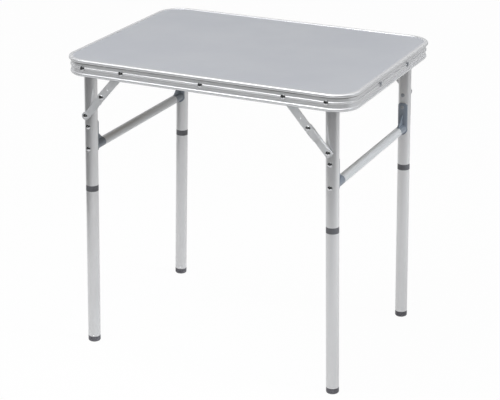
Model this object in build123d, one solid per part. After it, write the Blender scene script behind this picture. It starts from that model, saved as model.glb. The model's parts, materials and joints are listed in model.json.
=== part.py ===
from build123d import *
from math import atan2, cos, degrees, hypot, radians, sin, tan
import os

# Folding table, millimetres, +Z up. Origin: floor level, in the middle of the top.
# Every piece is drawn once, at the right-hand front leg (+X, -Y), and mirrored.

# Overall
length, width, height = 600.0, 450.0, 604.0
corner_radius = 50.0

# Edge frame section: "in" is measured inwards from the outermost edge, "down" from the top
frame_height = 33.0
wall_in, wall_thickness = 4.0, 1.6
lip_in, lip_thickness, lip_radius, lip_bevel = 8.0, 1.1, 2.6, 0.5
lip_face_down, lip_heel_in, lip_heel_down = 4.6, 1.2, 6.2
groove_in, groove_down, groove_end = 4.6, 7.0, 8.2
ledge_in, ledge_thickness = 12.0, 1.2
ridge_rise, ridge_half = 1.5, 2.4
bead_rise, bead_down, bead_half = 1.7, 29.4, 2.9
slot_in = 3.0

# Board
board_thickness, board_play = 2.5, 0.4

# Legs
leg_diameter, tube_wall = 25.0, 1.2
leg_from_end, leg_from_side = 49.5, 33.5  # table's edges to the leg pivot's axis and the leg's axis
pivot_down = 16.5
splay = 1.32  # degrees, each leg frame leans outwards along X
upper_leg_drop, collar_height = 245.77, 12.0  # leg pivot to the tube's lower end, along the leg
plug_up, plug_down, plug_bore, plug_chamfer = 40.0, 25.0, 18.4, 1.0
plug_clearance, collar_gap = 0.08, 0.1
foot_height, foot_floor, foot_plug, foot_edge = 12.0, 4.0, 15.0, 3.0
punch_up, punch_turn, punch_ball, punch_depth = 3.5, 25.0, 2.0, 0.8  # two dents hold each foot's plug

# Crossbar and its brackets
bar_diameter, bar_from_leg = 18.0, 40.5  # the bar starts this far in from the leg's axis
bar_drop, upper_rivet_drop = 168.0, 122.5  # from the leg pivot, along the leg
spigot_length, spigot_bore = 20.0, 10.0
saddle_thickness, saddle_width, saddle_corner = 2.5, 19.0, 4.0
saddle_above, saddle_below = 54.0, 12.5  # from the crossbar's axis
rib_thickness, rib_rise = 3.0, 22.0
blind_depth = 15.0  # how far the lower rivet goes into the socket
joint_depth = 1.0  # how far moulded features run into each other

# Braces. Along: from the mid rivet towards the leg. Across: from the rivets' line, upwards
brace_reach, brace_leg_drop = 83.5, 97.75  # leg pivot to the brace's pivot, and to its rivet on the leg
link_width, strip_thickness, web_thickness = 16.0, 1.5, 1.2
strip_end, strip_corner = 26.0, 1.5
nose_upper, nose_lower = 6.3, 7.2  # the strip's half widths past the mid rivet
nose_start, nose_slope = 2.5, 3.5
tab_start, tab_length, tab_thickness, tab_gap, tab_past = 12.0, 5.0, 1.2, 0.3, 0.5
flange_up, flange_depth, flange_start, bend_radius = 5.4, 6.4, 3.0, 1.4
relief_end, relief_slope = 19.0, 2.0  # the web is cut back for the strip's tab
dimple_back, dimple_ball, dimple_depth = 22.7, 2.5, 0.8

# Rivets and spacers
shank_diameter, head_diameter, head_height = 5.0, 9.5, 1.8
tail_diameter, tail_height, seat_depth = 8.0, 1.4, 1.0
spacer_diameter, knee_spacer_diameter = 10.0, 7.0
turn_clearance = 0.08  # radial, at every rivet that a piece turns on
face_gap, side_gap = 0.1, 0.3  # between flat faces and between curved faces that move
wall_gap = 0.4  # from the mid rivet's head to the frame wall when folded

# Blocks behind the other rivets
block_width, block_in, block_down = 16.0, 19.5, 27.0
block_skin = 2.0  # left behind the rivet's end
short_side_rivet_y = 73.0

# Derived
leg_radius = leg_diameter / 2
tube_bore = leg_radius - tube_wall
shank = shank_diameter / 2
pivot_z = height - pivot_down
leg_pivot_x = length / 2 - leg_from_end
leg_y = width / 2 - leg_from_side
brace_pivot_x = leg_pivot_x - brace_reach
bar_half = leg_y - bar_from_leg
wall_inner_y = width / 2 - wall_in - wall_thickness
ridge_y = width / 2 - wall_in + ridge_rise
strip_outer_y = wall_inner_y - wall_gap - head_height
strip_inner_y = strip_outer_y - strip_thickness
web_outer_y = strip_inner_y - side_gap - head_height
web_inner_y = web_outer_y - web_thickness
crown_y = leg_y + leg_radius
inner_crown_y = leg_y - leg_radius
plate_y = inner_crown_y - saddle_thickness
bar_bore = bar_diameter / 2 - tube_wall
block_inner_y = width / 2 - block_in
collar_drop = upper_leg_drop + collar_height
floor_drop = pivot_z / cos(radians(splay))
under_board = height - lip_thickness - board_thickness
under_ledge = under_board - ledge_thickness

# The brace: both links lie in one line at rest and again when folded
knee_x = leg_pivot_x + brace_leg_drop * sin(radians(splay))
knee_z = pivot_z - brace_leg_drop * cos(radians(splay))
brace_length = hypot(knee_x - brace_pivot_x, pivot_z - knee_z)
folded_gap = brace_leg_drop - brace_reach
strip_length = (brace_length + folded_gap) / 2
lower_length = (brace_length - folded_gap) / 2
brace_slope = degrees(atan2(pivot_z - knee_z, knee_x - brace_pivot_x))
mid_x = brace_pivot_x + strip_length * cos(radians(brace_slope))
mid_z = pivot_z - strip_length * sin(radians(brace_slope))


def cylinder_y(radius, y_from, y_to, x=0.0, z=0.0):
    """A cylinder along Y."""
    middle = Pos(x, (y_from + y_to) / 2, z)
    return middle * Rot(90, 0, 0) * Cylinder(radius, abs(y_to - y_from))


def box_between(wide, y_near, y_far, bottom, top):
    """A box centred on X, on the front side, between two distances from the middle."""
    middle = Pos(0, -(y_near + y_far) / 2, (bottom + top) / 2)
    return middle * Box(wide, y_far - y_near, top - bottom)


def tube(outer, inner, top, bottom):
    """An upright tube on the Z axis."""
    middle = Pos(0, 0, (top + bottom) / 2)
    return middle * (Cylinder(outer, top - bottom) - Cylinder(inner, top - bottom))


def rivet_head(diameter, rise, seat=0.0):
    """A domed head on the XY plane, facing +Z, with its rim going seat below it."""
    r, dome = diameter / 2, rise * 0.75
    ball = (r * r + dome * dome) / (2 * dome)
    rim = Pos(0, 0, (rise - seat) / 2) * Cylinder(r, rise + seat)
    return rim & Pos(0, 0, rise - ball) * Sphere(ball)


def outward(x, y, z):
    """Places a piece facing +Z so that it faces the outside of the front (-Y)."""
    return Pos(x, -y, z) * Rot(90, 0, 0)


def inward(x, y, z):
    """The same, facing the middle of the table (+Y)."""
    return Pos(x, -y, z) * Rot(-90, 0, 0)


def leaned(piece):
    """Leans a piece of the right-hand leg frame outwards about its pivots."""
    at_pivot = Pos(leg_pivot_x, 0, pivot_z)
    return at_pivot * Rot(0, -splay, 0) * piece


def along_brace(x, z):
    """The frame of a link: local X down the brace, local Z across it, upwards and outwards."""
    return Pos(x, 0, z) * Rot(0, brace_slope, 0)


# ---------------------------------------------------------------- top
def frame_section():
    """The extrusion's outline: first value outwards (0 is the outermost edge), second upwards."""
    w, t = -wall_in, wall_thickness
    ridge, bead = -pivot_down, -bead_down
    lip = RadiusArc((-lip_radius, 0), (0, -lip_radius), lip_radius)
    under = Polyline(
        (0, -lip_radius), (0, -lip_face_down), (-lip_heel_in, -lip_heel_down),
        (-groove_in, -groove_down), (w, -groove_end),
    )
    down = Line((w, -groove_end), (w, ridge + ridge_half))
    middle = ThreePointArc((w, ridge + ridge_half), (w + ridge_rise, ridge), (w, ridge - ridge_half))
    lower = Line((w, ridge - ridge_half), (w, bead + bead_half))
    foot = ThreePointArc((w, bead + bead_half), (w + bead_rise, bead), (w, bead - bead_half))
    rest = Polyline(
        (w, bead - bead_half), (w, -frame_height), (w - t, -frame_height),
        (w - t, under_ledge - height), (-ledge_in, under_ledge - height),
        (-ledge_in, under_board - height), (-slot_in, under_board - height),
        (-slot_in, -lip_thickness), (-lip_in, -lip_thickness),
        (-lip_in + lip_bevel, 0), (-lip_radius, 0),
    )
    return make_face(lip + under + down + middle + lower + foot + rest)


def edge_frame():
    cx, cy = length / 2 - corner_radius, width / 2 - corner_radius
    front_plane = Plane(origin=(cx, -width / 2, height), x_dir=(0, -1, 0), z_dir=(-1, 0, 0))
    side_plane = Plane(origin=(length / 2, cy, height), x_dir=(1, 0, 0), z_dir=(0, -1, 0))
    section = frame_section()
    front = extrude(front_plane * section, amount=2 * cx)
    side = extrude(side_plane * section, amount=2 * cy)
    corner = revolve(front_plane * section, Axis((cx, -cy, 0), (0, 0, 1)), revolution_arc=90)
    corners = [corner, mirror(corner, Plane.YZ)]
    corners += [mirror(c, Plane.XZ) for c in corners]
    frame = front + mirror(front, Plane.XZ) + side + mirror(side, Plane.YZ)
    for c in corners:
        frame += c
    for x in (-leg_pivot_x, -brace_pivot_x, 0, brace_pivot_x, leg_pivot_x):
        frame -= cylinder_y(shank, -width, width, x, pivot_z)
    for y in (-short_side_rivet_y, short_side_rivet_y):
        frame -= Pos(0, y, pivot_z) * Rot(0, 90, 0) * Cylinder(shank, length * 2)
    return frame


def board():
    inset = slot_in + board_play
    outline = RectangleRounded(length - 2 * inset, width - 2 * inset, corner_radius - inset)
    return Pos(0, 0, under_board) * extrude(outline, amount=board_thickness)


def block():
    """A block on the wall at the middle of the front side, carrying the board past the ledge."""
    bottom = height - block_down
    pad_outer = width / 2 - ledge_in - side_gap
    body = box_between(block_width, block_inner_y, wall_inner_y, bottom, under_ledge)
    pad = box_between(block_width, block_inner_y, pad_outer, under_ledge, under_board)
    return body + pad - cylinder_y(shank, -width / 2, -block_inner_y - block_skin, 0, pivot_z)


def block_rivet():
    head = outward(0, ridge_y, pivot_z) * rivet_head(head_diameter, head_height)
    return head + cylinder_y(shank, -ridge_y, -block_inner_y - block_skin, 0, pivot_z)


def on_four_edges(piece):
    """Copies of a piece from the middle of the front: both long sides, and two on each short side."""
    out = [piece, mirror(piece, Plane.XZ)]
    for y in (-short_side_rivet_y, short_side_rivet_y):
        turned = Pos(length / 2 - width / 2, y, 0) * Rot(0, 0, 90) * piece
        out += [turned, mirror(turned, Plane.YZ)]
    return out


def leg_pivot_rivet():
    head = outward(leg_pivot_x, ridge_y, pivot_z) * rivet_head(head_diameter, head_height)
    stem = cylinder_y(shank, -ridge_y, -(inner_crown_y - side_gap), leg_pivot_x, pivot_z)
    tail = inward(leg_pivot_x, inner_crown_y - side_gap, pivot_z) * rivet_head(tail_diameter, tail_height)
    return head + stem + tail


def leg_pivot_spacer():
    ends = (-wall_inner_y, -(crown_y + side_gap), leg_pivot_x, pivot_z)
    return cylinder_y(spacer_diameter / 2, *ends) - cylinder_y(shank, *ends)


def brace_pivot_rivet():
    seat = strip_inner_y - face_gap
    head = outward(brace_pivot_x, ridge_y, pivot_z) * rivet_head(head_diameter, head_height)
    stem = cylinder_y(shank, -ridge_y, -seat, brace_pivot_x, pivot_z)
    tail = inward(brace_pivot_x, seat, pivot_z) * rivet_head(tail_diameter, tail_height)
    return head + stem + tail


def brace_pivot_spacer():
    ends = (-wall_inner_y, -(strip_outer_y + face_gap), brace_pivot_x, pivot_z)
    return cylinder_y(spacer_diameter / 2, *ends) - cylinder_y(shank, *ends)


# ---------------------------------------------------------------- leg frame, drawn upright
# Local Z is down the leg from its pivot (negative), the leg's axis is at y = -leg_y.
at_leg = Pos(0, -leg_y, 0)


def leg_solid(extra=0.0):
    """The leg's outside, longer than any piece on it."""
    return at_leg * Cylinder(leg_radius + extra, 2 * height)


def across_leg(radius, drop):
    """A bore right through the leg along Y."""
    return cylinder_y(radius, -leg_y - leg_diameter, -leg_y + leg_diameter, 0, -drop)


def upper_leg():
    leg = at_leg * tube(leg_radius, tube_bore, leg_radius, -upper_leg_drop)
    below = box_between(2 * leg_diameter, 0, 2 * leg_y, -upper_leg_drop, 0)
    leg = leg & (below + across_leg(leg_radius, 0))
    leg -= across_leg(shank + turn_clearance, 0)
    for drop in (brace_leg_drop, upper_rivet_drop, bar_drop):
        leg -= across_leg(shank, drop)
    return leaned(leg)


def crossbar():
    ends = (-bar_half, bar_half, 0, -bar_drop)
    return leaned(cylinder_y(bar_diameter / 2, *ends) - cylinder_y(bar_bore, *ends))


def bracket():
    """Saddle on the leg's inner side, socket and spigot for the crossbar, and a rib above it."""
    half, cut_in = saddle_width / 2, saddle_width / 2 - saddle_corner
    shoulder = saddle_above - saddle_corner
    outline = Polyline(
        (-half, 0), (-half, shoulder), (-cut_in, saddle_above),
        (cut_in, saddle_above), (half, shoulder), (half, 0),
    ) + ThreePointArc((half, 0), (0, -saddle_below), (-half, 0))
    at_bar = Plane(origin=(0, -leg_y, -bar_drop), x_dir=(1, 0, 0), z_dir=(0, -1, 0))
    cut = extrude(at_bar * make_face(outline), amount=-leg_diameter)
    saddle = (leg_solid(saddle_thickness) - leg_solid()) & cut
    socket = cylinder_y(bar_diameter / 2, -leg_y, -bar_half, 0, -bar_drop) - leg_solid()
    spigot = cylinder_y(bar_bore, -bar_half, -bar_half + spigot_length, 0, -bar_drop)
    spigot -= cylinder_y(spigot_bore / 2, -bar_half, -bar_half + spigot_length, 0, -bar_drop)
    top = -bar_drop + bar_diameter / 2
    root, tip = -plate_y - joint_depth, -bar_half - joint_depth
    rib_face = make_face(
        Polyline(
            (root, top + rib_rise), (root, top - rib_thickness), (tip, top - rib_thickness),
            (tip, top), (root, top + rib_rise),
        )
    )
    rib = extrude(Plane.YZ * rib_face, amount=rib_thickness / 2, both=True)
    piece = saddle + socket + spigot + rib
    piece -= cylinder_y(shank, -leg_y, -bar_half, 0, -upper_rivet_drop)
    piece -= cylinder_y(shank, -leg_y, -plate_y + blind_depth, 0, -bar_drop)
    return leaned(piece)


def bracket_rivets():
    """The upper one goes right through, the lower one ends in the socket."""
    head = outward(0, crown_y, 0) * rivet_head(head_diameter, head_height, seat_depth) - leg_solid()
    tail = inward(0, plate_y, 0) * rivet_head(tail_diameter, tail_height, seat_depth)
    tail -= leg_solid(saddle_thickness)
    start = -crown_y - head_height / 2
    through = head + cylinder_y(shank, start, -plate_y + tail_height / 2) + tail
    blind = head + cylinder_y(shank, start, -plate_y + blind_depth)
    return [leaned(Pos(0, 0, -upper_rivet_drop) * through), leaned(Pos(0, 0, -bar_drop) * blind)]


def knee_rivet():
    """Holds the lower link to the leg."""
    head = outward(0, web_outer_y + face_gap, 0) * rivet_head(head_diameter, head_height)
    tail = inward(0, inner_crown_y, 0) * rivet_head(tail_diameter, tail_height, seat_depth) - leg_solid()
    stem = cylinder_y(shank, -(web_outer_y + face_gap), -inner_crown_y + tail_height / 2)
    return leaned(Pos(0, 0, -brace_leg_drop) * (head + stem + tail))


def knee_spacer():
    ends = (-(web_inner_y - face_gap), -leg_y)
    sleeve = cylinder_y(knee_spacer_diameter / 2, *ends) - leg_solid() - cylinder_y(shank, *ends)
    return leaned(Pos(0, 0, -brace_leg_drop) * sleeve)


# ---------------------------------------------------------------- lower leg, drawn upright
def lower_leg(turn):
    """The tube, with two dents over the foot's plug, turned about the leg from its outer side."""
    rim = floor_drop - foot_height
    leg = tube(leg_radius, tube_bore, -collar_drop, -rim)
    out = leg_radius + punch_ball - punch_depth
    for y in (-out, out):
        leg -= Rot(0, 0, turn) * Pos(0, y, -rim + punch_up) * Sphere(punch_ball)
    return leaned(at_leg * leg)


def leg_connector():
    """The collar, and one plug that runs up into the upper leg and down into the lower one."""
    ring = tube(leg_radius, plug_bore / 2, -upper_leg_drop - collar_gap, -collar_drop)
    plug_top, plug_foot = -upper_leg_drop + plug_up, -upper_leg_drop - collar_gap
    up = tube(tube_bore - plug_clearance, plug_bore / 2, plug_top, plug_foot)
    rims = up.edges().filter_by(GeomType.CIRCLE).group_by(Axis.Z)[-1]
    up = chamfer(rims.sort_by(SortBy.LENGTH)[-1], plug_chamfer)
    down = tube(tube_bore, plug_bore / 2, -collar_drop, -collar_drop - plug_down)
    return leaned(at_leg * (ring + up + down))


def foot():
    """Drawn a little long, then cut level with the floor."""
    trim = leg_radius * tan(radians(splay))
    cup = Pos(0, 0, -floor_drop + (foot_height - trim) / 2) * Cylinder(leg_radius, foot_height + trim)
    cup = fillet(cup.edges().filter_by(GeomType.CIRCLE).sort_by(Axis.Z)[0], foot_edge)
    rim = -floor_drop + foot_height
    plug = tube(tube_bore, plug_bore / 2, rim + foot_plug, rim)
    inside = Pos(0, 0, (rim - floor_drop + foot_floor) / 2)
    hollow = inside * Cylinder(plug_bore / 2, foot_height - foot_floor)
    piece = leaned(at_leg * (cup + plug - hollow))
    return piece - Pos(0, 0, -foot_height) * Box(2 * length, 2 * width, 2 * foot_height)


# ---------------------------------------------------------------- braces
def plate(points, y_outer, thickness):
    """A flat plate from an outline in the brace's own X and Z."""
    face = Plane(origin=(0, -y_outer, 0), x_dir=(1, 0, 0), z_dir=(0, -1, 0)) * make_face(points)
    return extrude(face, amount=-thickness)


def upper_link():
    """A flat strip, narrower past the mid rivet, with a tab that stops the lower link in line."""
    half, mid, end = link_width / 2, strip_length, strip_length + strip_end
    tab_end = mid + tab_start + tab_length
    strip = plate(
        Polyline(
            (0, half), (mid + nose_start, half), (mid + nose_start + nose_slope, nose_upper),
            (end, nose_upper), (end, -nose_lower), (tab_end, -nose_lower), (tab_end, -half), (0, -half),
        )
        + ThreePointArc((0, -half), (-half, 0), (0, half)),
        strip_outer_y, strip_thickness,
    )
    strip = fillet(strip.edges().filter_by(Axis.Y).sort_by(Axis.X)[-2:], strip_corner)
    tab = box_between(tab_length, web_inner_y - tab_past, strip_outer_y, -half, -half + tab_thickness)
    strip += Pos(tab_end - tab_length / 2, 0, 0) * tab
    strip -= Pos(mid - dimple_back, -strip_outer_y - dimple_ball + dimple_depth, 0) * Sphere(dimple_ball)
    strip -= cylinder_y(shank + turn_clearance, -width, 0)
    strip -= cylinder_y(shank, -width, 0, mid)
    return along_brace(brace_pivot_x, pivot_z) * strip


def mid_rivet():
    """Head, stem and shoulder, all on the upper link."""
    head = outward(0, strip_outer_y, 0) * rivet_head(head_diameter, head_height)
    stem = cylinder_y(shank, -strip_outer_y, -strip_inner_y)
    shoulder = cylinder_y(tail_diameter / 2, -strip_inner_y, -(web_outer_y + side_gap))
    return along_brace(mid_x, mid_z) * (head + stem + shoulder)


def lower_link():
    """A web with round ends and a deep flange bent inwards along its upper edge."""
    half, reach = link_width / 2, (link_width**2 / 4 - flange_up**2) ** 0.5
    flange_length = lower_length + reach - flange_start
    relief, web_up = -half + tab_thickness + tab_gap, flange_up - bend_radius
    web = plate(
        Polyline(
            (0, web_up), (0, relief), (relief_end, relief), (relief_end + relief_slope, -half),
            (lower_length, -half), (lower_length, web_up), (0, web_up),
        ),
        web_outer_y, web_thickness,
    )
    near_end = cylinder_y(half, -web_outer_y, -web_inner_y)
    near_end -= box_between(2 * link_width, 0, width, -link_width, relief)
    far_end = cylinder_y(half, -web_outer_y, -web_inner_y, lower_length)
    flange_y, flange_low = web_outer_y - flange_depth, flange_up - web_thickness
    angle = box_between(flange_length, flange_y, web_outer_y, web_up - joint_depth, flange_up)
    angle = fillet(angle.edges().filter_by(Axis.X).group_by(Axis.Z)[-1].sort_by(Axis.Y)[0], bend_radius)
    angle -= box_between(flange_length, flange_y, web_inner_y, -half, flange_low)
    link = web + near_end + far_end + Pos(flange_start + flange_length / 2, 0, 0) * angle
    link -= cylinder_y(shank, -width, 0)
    link -= cylinder_y(shank + turn_clearance, -width, 0, lower_length)
    return along_brace(mid_x, mid_z) * link


def mid_rivet_tail():
    """The same rivet's end, in the lower link."""
    stem = cylinder_y(shank, -web_outer_y, -web_inner_y)
    tail = inward(0, web_inner_y, 0) * rivet_head(tail_diameter, tail_height)
    return along_brace(mid_x, mid_z) * (stem + tail)


# ---------------------------------------------------------------- copies and files
def quarter(piece, x_side, y_side):
    """A piece of the right-hand front, mirrored to another leg."""
    if x_side < 0:
        piece = mirror(piece, Plane.YZ)
    if y_side > 0:
        piece = mirror(piece, Plane.XZ)
    return piece


def save(name, *pieces):
    solids = [s for p in pieces for s in p.solids()]
    shape = solids[0] if len(solids) == 1 else Compound(children=solids)
    shape.label = name
    export_step(shape, f"parts/{name}.step")
    box = shape.bounding_box()
    print(name, len(solids), "solids", [round(v, 2) for v in (*box.min, *box.max)])


def main():
    os.makedirs("parts", exist_ok=True)
    corners = [(x, y) for x in (-1, 1) for y in (-1, 1)]
    frame = edge_frame()
    save("edge_frame", frame)
    save("board", board())
    save("board_blocks", *on_four_edges(block()))
    save("board_block_rivets", *on_four_edges(block_rivet()))
    for name, make in (
        ("leg_pivot_rivets", leg_pivot_rivet),
        ("leg_pivot_spacers", leg_pivot_spacer),
        ("brace_pivot_rivets", brace_pivot_rivet),
        ("brace_pivot_spacers", brace_pivot_spacer),
    ):
        piece = make() - frame
        save(name, *[quarter(piece, *c) for c in corners])
    leg, bar, saddle = upper_leg(), crossbar(), bracket()
    rivets, knee, sleeve = bracket_rivets(), knee_rivet(), knee_spacer()
    for side, x in (("left", -1), ("right", 1)):
        save(f"{side}_crossbar", quarter(bar, x, -1))
        save(f"{side}_bracket_rivets", *[quarter(r, x, y) for y in (-1, 1) for r in rivets])
        save(f"{side}_knee_rivets", *[quarter(knee, x, y) for y in (-1, 1)])
        save(f"{side}_knee_spacers", *[quarter(sleeve, x, y) for y in (-1, 1)])
    single = {
        "upper_leg": leg,
        "bracket": saddle,
        "upper_link": upper_link(),
        "mid_rivet": mid_rivet(),
        "lower_link": lower_link(),
        "mid_rivet_tail": mid_rivet_tail(),
        "leg_connector": leg_connector(),
        "foot": foot(),
    }
    for side, x in (("left", -1), ("right", 1)):
        for end, y in (("front", -1), ("back", 1)):
            for name, piece in single.items():
                save(f"{side}_{end}_{name}", quarter(piece, x, y))
            save(f"{side}_{end}_lower_leg", quarter(lower_leg(-x * y * punch_turn), x, y))


main()
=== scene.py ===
import json
import math
import bmesh
import bpy
from mathutils import Vector, Matrix


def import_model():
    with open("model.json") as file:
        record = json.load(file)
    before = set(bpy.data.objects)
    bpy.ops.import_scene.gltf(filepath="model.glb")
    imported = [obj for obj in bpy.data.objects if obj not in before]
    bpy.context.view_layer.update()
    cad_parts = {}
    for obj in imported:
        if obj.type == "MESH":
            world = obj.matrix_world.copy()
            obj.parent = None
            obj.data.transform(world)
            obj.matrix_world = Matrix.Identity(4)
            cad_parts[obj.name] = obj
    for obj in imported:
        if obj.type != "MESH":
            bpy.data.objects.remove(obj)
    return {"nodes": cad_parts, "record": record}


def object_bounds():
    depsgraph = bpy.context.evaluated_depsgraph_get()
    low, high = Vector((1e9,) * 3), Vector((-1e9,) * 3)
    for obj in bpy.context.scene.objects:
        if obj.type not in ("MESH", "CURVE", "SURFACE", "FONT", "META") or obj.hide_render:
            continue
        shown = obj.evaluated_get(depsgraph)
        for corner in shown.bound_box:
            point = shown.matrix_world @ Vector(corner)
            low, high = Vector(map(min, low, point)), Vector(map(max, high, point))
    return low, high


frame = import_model()
nodes = frame["nodes"]
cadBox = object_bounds()
cadTop = cadBox[1][2]
print("frame loaded,", len(nodes), "nodes")


class Wire:  # one output socket, usable in plain arithmetic
    def __init__(self, finish, socket):
        self.finish = finish
        self.socket = socket

    def __add__(self, other):
        return self.finish.maths("ADD", self, other)

    def __radd__(self, other):
        return self.finish.maths("ADD", other, self)

    def __sub__(self, other):
        return self.finish.maths("SUBTRACT", self, other)

    def __rsub__(self, other):
        return self.finish.maths("SUBTRACT", other, self)

    def __mul__(self, other):
        return self.finish.maths("MULTIPLY", self, other)

    def __rmul__(self, other):
        return self.finish.maths("MULTIPLY", other, self)


class Finish:  # the nodes of one material or of the world
    def __init__(self, owner):
        self.owner = owner
        owner.use_nodes = True
        self.tree = owner.node_tree
        self.tree.nodes.clear()

    def node(self, kind, settings=None, inputs=None, output=0):
        made = self.tree.nodes.new(kind)
        for key, value in (settings or {}).items():
            setattr(made, key, value)
        for key, value in (inputs or {}).items():
            if isinstance(value, Wire):
                self.tree.links.new(value.socket, made.inputs[key])
            else:
                made.inputs[key].default_value = value
        return Wire(self, made.outputs[output]) if made.outputs else None

    def maths(self, operation, first, second):
        return self.node("ShaderNodeMath", {"operation": operation}, {0: first, 1: second})

    def place(self, scale=(1, 1, 1), turn=(0, 0, 0)):
        here = self.node("ShaderNodeTexCoord", output="Object")
        return self.node("ShaderNodeMapping", None, {"Vector": here, "Rotation": turn, "Scale": scale})

    def part(self, axis):
        here = self.node("ShaderNodeTexCoord", output="Object")
        return self.node("ShaderNodeSeparateXYZ", None, {"Vector": here}, output=axis)

    def noise(self, where, scale, detail=2.0, roughness=0.5):
        return self.node("ShaderNodeTexNoise", None,
                         {"Vector": where, "Scale": scale, "Detail": detail, "Roughness": roughness})

    def band(self, value, low, high, outLow=0.0, outHigh=1.0):  # an eased step from outLow to outHigh
        limits = {"From Min": low, "From Max": high, "To Min": outLow, "To Max": outHigh}
        return self.node("ShaderNodeMapRange", {"interpolation_type": "SMOOTHSTEP"},
                         {"Value": value, **limits})

    def blend(self, factor, first, second):
        return self.node("ShaderNodeMix", {"data_type": "RGBA"}, {0: factor, 6: first, 7: second}, output=2)

    def bump(self, height, strength, distance):
        return self.node("ShaderNodeBump", None,
                         {"Height": height, "Strength": strength, "Distance": distance})

    def looking(self):  # 1 for the camera, mirrors and glass, 0 where light is gathered
        seen = self.node("ShaderNodeLightPath", output="Is Camera Ray")
        mirrored = self.node("ShaderNodeLightPath", output="Is Glossy Ray")
        through = self.node("ShaderNodeLightPath", output="Is Transmission Ray")
        return self.maths("MINIMUM", seen + mirrored + through, 1.0)

    def surface(self, sockets):
        shader = self.node("ShaderNodeBsdfPrincipled", None, sockets)
        self.node("ShaderNodeOutputMaterial", None, {"Surface": shader})
        return self.owner


def shade(red, green, blue):  # a colour as it looks on a screen, 0 to 255, as Blender wants it
    def linear(value):
        value /= 255
        return value / 12.92 if value <= 0.04045 else ((value + 0.055) / 1.055) ** 2.4
    return (linear(red), linear(green), linear(blue), 1)


def newFinish(name):
    return Finish(bpy.data.materials.new(name))


# the board: pale laminate above, bare wood from a little way down
laminate = {"colour": (190, 193, 199), "cloudy": (186, 189, 196), "speck": (150, 153, 160), "specks": 0.06,
            "backing": (128, 115, 95), "fibre": (132, 118, 96), "backingDown": 0.0023, "backingEdge": 0.0003,
            "roughness": 0.42, "shine": 0.4, "clouds": 5.0, "grain": 900.0, "grainDeep": 0.0002,
            "scuffLines": (9, 120, 1), "scuffTurn": 0.5, "fibreLines": (40, 600, 40)}


def laminateFinish():
    f = newFinish("laminate")
    clouds = f.noise(f.place(), laminate["clouds"], 4.0)
    grain = f.noise(f.place(), laminate["grain"], 2.0, 0.7)
    scuffs = f.noise(f.place(laminate["scuffLines"], (0, 0, laminate["scuffTurn"])), 1.0, 6.0, 0.65)
    base = f.blend(f.band(clouds, 0.35, 0.65), shade(*laminate["colour"]), shade(*laminate["cloudy"]))
    tone = f.blend(f.band(grain, 0.3, 0.7, 0.0, laminate["specks"]), base, shade(*laminate["speck"]))
    fibres = f.noise(f.place(laminate["fibreLines"]), 1.0, 4.0, 0.6)
    wood = f.blend(f.band(fibres, 0.3, 0.7), shade(*laminate["backing"]), shade(*laminate["fibre"]))
    woodTop = cadTop - laminate["backingDown"]
    tone = f.blend(f.band(f.part("Z"), woodTop, woodTop + laminate["backingEdge"]), wood, tone)
    rough = laminate["roughness"] + f.band(clouds, 0.3, 0.7, -0.03, 0.05)
    rough = rough + f.band(scuffs, 0.62, 0.72, 0.0, 0.08)
    return f.surface({"Base Color": tone, "Roughness": rough, "Specular IOR Level": laminate["shine"],
                      "Normal": f.bump(grain, 0.12, laminate["grainDeep"])})


# lines: how the fine marks stretch along X, Y and Z. The roughness of each stays on one side of 0.27,
# because the denoiser leaves thin lines where it crosses that value
metals = {
    "frame": {"colour": (226, 227, 229), "dull": (220, 221, 224), "roughness": 0.2, "metal": 0.34,
              "marks": 0.004, "lines": (2, 2, 240)},
    "tube": {"colour": (211, 211, 212), "dull": (206, 207, 209), "roughness": 0.29, "metal": 0.64,
             "marks": 0.004, "lines": (150, 150, 2)},
    "bar": {"colour": (208, 210, 212), "dull": (203, 205, 208), "roughness": 0.42, "metal": 0.28,
            "marks": 0.004, "lines": (150, 2, 150)},
    "link": {"colour": (228, 229, 231), "dull": (220, 222, 225), "roughness": 0.34, "metal": 0.4,
             "marks": 0.01, "lines": (150, 150, 150)},
}
wear = {"markDepth": 0.00015, "broadLines": 0.1, "smudges": 16.0, "smudgeRoughness": 0.04}
# painted shade: the groove under the frame's lip is painted darker in patches, between depths below the
# table's top
grooveShade = {"colour": (120, 119, 116), "top": 0.0062, "bottom": 0.0086, "edge": 0.0006}


def drawnMetal(name, shadedGroove=False):
    values = metals[name]
    f = newFinish(name + "Metal")
    fine = f.noise(f.place(values["lines"]), 1.0, 1.0, 0.5)
    broad = f.noise(f.place([stretch * wear["broadLines"] for stretch in values["lines"]]), 1.0, 1.0)
    smudge = f.noise(f.place(), wear["smudges"], 2.0, 0.5)
    worn = f.band(fine, 0.25, 0.75, 0.0, 0.55) + f.band(broad, 0.3, 0.7, 0.0, 0.45)
    tone = f.blend(worn, shade(*values["colour"]), shade(*values["dull"]))
    rough = values["roughness"] + f.band(smudge, 0.35, 0.75, 0.0, wear["smudgeRoughness"])
    # painted shade in the groove under the lip, standing in for its shadow
    if shadedGroove:
        upper = cadTop - grooveShade["top"]
        lower = cadTop - grooveShade["bottom"]
        above = f.band(f.part("Z"), lower - grooveShade["edge"], lower)
        below = f.band(f.part("Z"), upper, upper + grooveShade["edge"], 1.0, 0.0)
        tone = f.blend(above * below * f.band(smudge, 0.3, 0.7, 0.35, 0.75), tone, shade(*grooveShade["colour"]))
    return f.surface({"Base Color": tone, "Roughness": rough, "Metallic": values["metal"],
                      "Normal": f.bump(fine, values["marks"], wear["markDepth"])})


# the heads are polished, the hammered ends on the inner side of the legs are dull, their bluish grey partly
# a painted reflection
rivet = {"colour": (208, 209, 211), "mark": (176, 177, 180), "dull": (150, 154, 160), "roughness": 0.16,
         "marks": 700.0, "endsFrom": 0.186, "endsTo": 0.188}  # ends: distances from the middle, along Y


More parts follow.
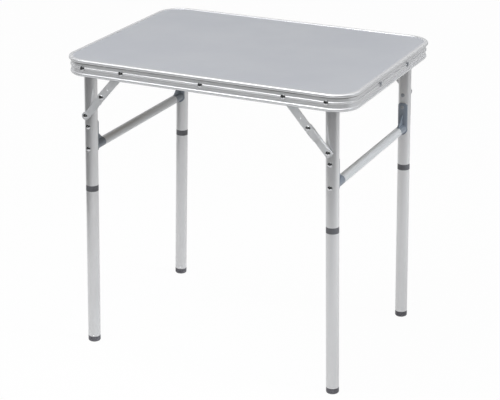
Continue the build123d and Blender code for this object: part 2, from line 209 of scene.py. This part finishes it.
def rivetFinish():
    f = newFinish("rivetSteel")
    marks = f.noise(f.place(), rivet["marks"], 2.0)
    inner = f.band(f.maths("ABSOLUTE", f.part("Y"), 0.0), rivet["endsFrom"], rivet["endsTo"], 1.0, 0.0)
    tone = f.blend(f.band(marks, 0.4, 0.7), shade(*rivet["colour"]), shade(*rivet["mark"]))
    # painted reflection: the ends' darker bluish grey stands in for the plastic they mirror; their dull
    # finish is real
    tone = f.blend(inner, tone, shade(*rivet["dull"]))
    rough = rivet["roughness"] + f.band(marks, 0.4, 0.7, 0.0, 0.12) + inner * 0.3
    return f.surface({"Base Color": tone, "Metallic": 1.0 - inner * 0.6, "Roughness": rough})


spacer = {"colour": (186, 187, 190), "ring": (158, 160, 164), "roughness": 0.36, "metal": 0.9,
          "rings": (60, 2600, 60)}


def turnedSteel():
    f = newFinish("spacerSteel")
    rings = f.noise(f.place(spacer["rings"]), 1.0, 2.0)
    tone = f.blend(f.band(rings, 0.3, 0.7), shade(*spacer["colour"]), shade(*spacer["ring"]))
    rough = spacer["roughness"] + f.band(rings, 0.3, 0.7, 0.0, 0.08)
    return f.surface({"Base Color": tone, "Metallic": spacer["metal"], "Roughness": rough})


# scuffTop: the height under which handling and the ground have rubbed it paler
plastics = {
    "bracket": {"colour": (122, 130, 141), "pale": (138, 146, 157), "roughness": 0.34, "scuffTop": 0.0},
    "collar": {"colour": (92, 93, 97), "pale": (106, 107, 111), "roughness": 0.48, "scuffTop": 0.0},
    "foot": {"colour": (92, 91, 97), "pale": (118, 118, 122), "roughness": 0.52, "scuffTop": 0.006},
    "block": {"colour": (92, 93, 96), "pale": (108, 109, 112), "roughness": 0.5, "scuffTop": 0.0},
}
plasticGrain = {"scale": 1600.0, "strength": 0.25, "depth": 0.0001, "patches": 55.0}


def mouldedPlastic(name):
    values = plastics[name]
    f = newFinish(name + "Plastic")
    grain = f.noise(f.place(), plasticGrain["scale"], 2.0, 0.6)
    patches = f.noise(f.place(), plasticGrain["patches"], 2.0, 0.5)
    rub = f.band(patches, 0.5, 0.75, 0.0, 0.5)
    if values["scuffTop"]:
        rub = rub + f.band(f.part("Z"), values["scuffTop"], 0.0, 0.0, 0.8) * f.band(patches, 0.3, 0.6)
    tone = f.blend(f.maths("MINIMUM", rub, 1.0), shade(*values["colour"]), shade(*values["pale"]))
    rough = values["roughness"] + f.band(patches, 0.3, 0.7, -0.02, 0.04)
    return f.surface({"Base Color": tone, "Roughness": rough,
                      "Normal": f.bump(grain, plasticGrain["strength"], plasticGrain["depth"])})


finishes = {
    "laminate": laminateFinish(),
    "frame_aluminium": drawnMetal("frame", shadedGroove=True),
    "tube_aluminium": drawnMetal("tube"),
    "bar_aluminium": drawnMetal("bar"),
    "link_steel": drawnMetal("link"),
    "rivet_steel": rivetFinish(),
    "spacer_steel": turnedSteel(),
    "bracket_plastic": mouldedPlastic("bracket"),
    "collar_plastic": mouldedPlastic("collar"),
    "foot_plastic": mouldedPlastic("foot"),
    "block_plastic": mouldedPlastic("block"),
}
print("finishes made,", len(finishes))

for part in frame["record"]["subparts"]:
    node = nodes[part["node"]]
    node.data.materials.clear()
    node.data.materials.append(finishes[part["material_slot"]])
print("nodes dressed")


white = (1, 1, 1, 1)
studio = {"width": 30.0, "paper": (0.85, 0.85, 0.85, 1), "glow": 0.97, "ambient": 0.42}


def sheet(name, shape, material):
    made = bpy.data.objects.new(name, bpy.data.meshes.new(name))
    shape.to_mesh(made.data)
    shape.free()
    bpy.context.scene.collection.objects.link(made)
    made.data.materials.append(material)
    return made


def floorFinish():
    f = newFinish("floorPaper")
    lit = f.looking() * studio["glow"]
    paper = f.node("ShaderNodeBsdfDiffuse", None, {"Color": studio["paper"]})
    glow = f.node("ShaderNodeEmission", None, {"Color": white, "Strength": 1.0})
    mixed = f.node("ShaderNodeMixShader", None, {0: lit, 1: paper, 2: glow})
    f.node("ShaderNodeOutputMaterial", None, {"Surface": mixed})
    return f.owner


def floorSheet():
    floor = bmesh.new()
    bmesh.ops.create_grid(floor, x_segments=1, y_segments=1, size=studio["width"] / 2)
    sheet("studioFloor", floor, floorFinish())


floorSheet()


# the unlit studio round the white floor, dim behind the table and dark in front; it shows only as a shine
surroundings = {"middle": (0.3, 0.15), "whiteRadius": 1.36, "farRadius": 7.0, "lift": 0.003, "steps": 60,
                "frontWall": 3.9, "backWall": 4.6, "frontUntil": 0.2,
                "dark": 0.05, "dim": 0.6, "dimFrom": -0.3}


def surroundingsFinish():
    f = newFinish("darkSurroundings")
    here = f.node("ShaderNodeTexCoord", output="Object")
    away = f.node("ShaderNodeVectorMath", {"operation": "NORMALIZE"}, {0: here})
    back = f.node("ShaderNodeSeparateXYZ", None, {"Vector": away}, output="Y")  # 1 behind, 0 at the sides
    strength = surroundings["dark"] + f.band(back, surroundings["dimFrom"], 0.0) * surroundings["dim"]
    glow = f.node("ShaderNodeEmission", None, {"Color": white, "Strength": strength})
    f.node("ShaderNodeOutputMaterial", None, {"Surface": glow})
    return f.owner


def surroundingsRing():
    middle = Vector((*surroundings["middle"], 0))
    near = surroundings["whiteRadius"]
    far = surroundings["farRadius"]
    lift = surroundings["lift"]
    ring = bmesh.new()
    profile = [ring.verts.new(middle + Vector((0, -radius, up)))
               for radius, up in ((near, lift), (far, lift), (far, surroundings["frontWall"]))]
    edges = [ring.edges.new(ends) for ends in zip(profile, profile[1:])]
    bmesh.ops.spin(ring, geom=profile + edges, cent=middle, axis=(0, 0, 1), angle=math.tau,
                   steps=surroundings["steps"], use_merge=True)
    for corner in ring.verts:
        isTop = corner.co.z > surroundings["frontWall"] / 2
        ahead = (middle.y - corner.co.y) / far  # 1 straight in front, -1 straight behind
        if isTop and ahead < surroundings["frontUntil"]:
            corner.co.z = surroundings["backWall"]
    made = sheet("darkRing", ring, surroundingsFinish())
    made.visible_camera = made.visible_diffuse = made.visible_shadow = made.visible_transmission = False


surroundingsRing()


def world():
    made = bpy.data.worlds.new("studio")
    bpy.context.scene.world = made
    f = Finish(made)
    strength = studio["ambient"] + f.looking() * (1.0 - studio["ambient"])
    glow = f.node("ShaderNodeBackground", None, {"Color": white, "Strength": strength})
    f.node("ShaderNodeOutputWorld", None, {"Surface": glow})


world()


# place, aim, width and height in metres, power in watts, spread in degrees
# gives: "light" leaves no highlight, "shine" is nothing but a highlight, and the others give both
lamps = {
    "topLight": {"place": (-0.2, -0.9, 3.4), "aim": (0, 0, 0.5), "size": (2.2, 2.2), "power": 46},
    "sideLight": {"place": (1.35, 0.1, 1.08), "aim": (0.25, 0, 0.31), "size": (1.2, 0.15), "power": 0.85,
                  "spread": 24, "colour": (0.93, 0.97, 1.0)},  # a beam on the right crossbar
    "frontLight": {"place": (-0.2, -3.2, 1.1), "aim": (0, 0, 0.4), "size": (1.8, 1.0), "power": 14,
                   "gives": "light"},
    "overheadShine": {"place": (0.3, -0.9, 2.6), "aim": (0.1, -0.3, 0), "size": (3.4, 3.6), "power": 66,
                      "gives": "shine"},
    "frontShine": {"place": (-1.2, -2.3, 2.9), "aim": (0, 0, 0.5), "size": (2.8, 1.5), "power": 32,
                   "gives": "shine"},
}


def turned(place, aim):  # the turn that points a lamp or camera at its aim
    return (Vector(aim) - Vector(place)).to_track_quat("-Z", "Y")


def softBox(name, values):
    lamp = bpy.data.lights.new(name, "AREA")
    lamp.shape = "RECTANGLE"
    lamp.size, lamp.size_y = values["size"]
    lamp.energy = values["power"]
    if "spread" in values:
        lamp.spread = math.radians(values["spread"])
        lamp.color = values["colour"]
    holder = bpy.data.objects.new(name, lamp)
    holder.location = values["place"]
    holder.rotation_mode = "QUATERNION"
    holder.rotation_quaternion = turned(values["place"], values["aim"])
    bpy.context.scene.collection.objects.link(holder)
    holder.visible_camera = False
    gives = values.get("gives", "both")
    if gives == "light":
        holder.visible_glossy = False
    if gives == "shine":
        holder.visible_diffuse = holder.visible_transmission = False


for name, values in lamps.items():
    softBox(name, values)


camera = {"place": (1.24417, -2.65551, 1.41383), "aim": (-0.00201, 0.0, 0.28387), "roll": 0.159,
          "lens": 111.62, "sensor": 36.0, "near": 0.05, "far": 100}


def addCamera():
    eye = bpy.data.objects.new("camera", bpy.data.cameras.new("camera"))
    bpy.context.scene.collection.objects.link(eye)
    eye.data.sensor_width = camera["sensor"]
    eye.data.lens = camera["lens"]
    eye.data.clip_start = camera["near"]
    eye.data.clip_end = camera["far"]
    eye.location = camera["place"]
    eye.rotation_mode = "QUATERNION"
    roll = Matrix.Rotation(math.radians(camera["roll"]), 4, "Z").to_quaternion()
    eye.rotation_quaternion = turned(camera["place"], camera["aim"]) @ roll
    bpy.context.scene.camera = eye


addCamera()

bpy.context.scene.view_settings.view_transform = "Standard"
print("studio, lamps and camera ready")
